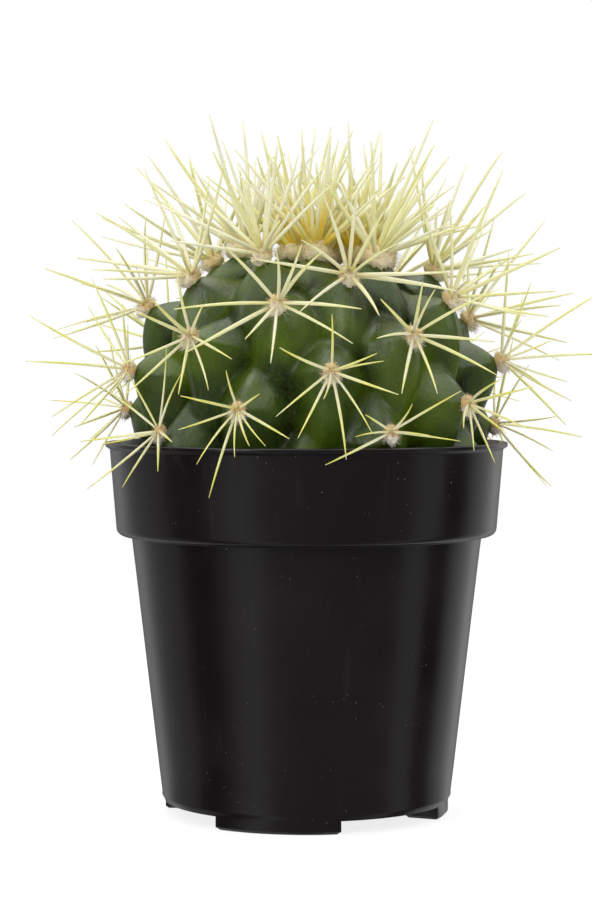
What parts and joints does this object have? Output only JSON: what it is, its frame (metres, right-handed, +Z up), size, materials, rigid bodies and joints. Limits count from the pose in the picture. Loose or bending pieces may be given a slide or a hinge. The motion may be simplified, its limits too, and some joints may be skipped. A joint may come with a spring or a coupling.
{
  "type": "potted round cactus",
  "caption": "Round tubercled cactus with straw-coloured spine clusters, growing in a black plastic nursery pot with a stepped rim band, feet and drain holes.",
  "frame": {"origin": "on the ground under the middle of the object's bounding box; the pot's axis stands a few millimetres to the left of it, because the spines reach further to the right", "axes": "+Z up along the pot's axis; the front of the plant faces -Y, and +X is to the right seen from the front"},
  "size_m": [0.094, 0.0932, 0.1118],
  "materials": {
    "pot_plastic": "satin",
    "potting_mix": "matte",
    "stem_skin": "satin",
    "spines_and_wool": "satin"
  },
  "bodies": {
    "root": {"pot": "pot_plastic", "soil": "potting_mix", "stem": "stem_skin", "spine_cluster_01": "spines_and_wool", "spine_cluster_02": "spines_and_wool", "spine_cluster_03": "spines_and_wool", "spine_cluster_04": "spines_and_wool", "spine_cluster_05": "spines_and_wool", "spine_cluster_06": "spines_and_wool", "spine_cluster_07": "spines_and_wool", "spine_cluster_08": "spines_and_wool", "spine_cluster_09": "spines_and_wool", "spine_cluster_10": "spines_and_wool", "spine_cluster_11": "spines_and_wool", "spine_cluster_12": "spines_and_wool", "spine_cluster_13": "spines_and_wool", "spine_cluster_14": "spines_and_wool", "spine_cluster_15": "spines_and_wool", "spine_cluster_16": "spines_and_wool", "spine_cluster_17": "spines_and_wool", "spine_cluster_18": "spines_and_wool", "spine_cluster_19": "spines_and_wool", "spine_cluster_20": "spines_and_wool", "spine_cluster_21": "spines_and_wool", "spine_cluster_22": "spines_and_wool", "spine_cluster_23": "spines_and_wool", "spine_cluster_24": "spines_and_wool", "spine_cluster_25": "spines_and_wool", "spine_cluster_26": "spines_and_wool", "spine_cluster_27": "spines_and_wool", "spine_cluster_28": "spines_and_wool", "spine_cluster_29": "spines_and_wool", "spine_cluster_30": "spines_and_wool", "spine_cluster_31": "spines_and_wool", "spine_cluster_32": "spines_and_wool", "spine_cluster_33": "spines_and_wool", "spine_cluster_34": "spines_and_wool", "spine_cluster_35": "spines_and_wool", "spine_cluster_36": "spines_and_wool", "spine_cluster_37": "spines_and_wool"}
  },
  "joints": []
}
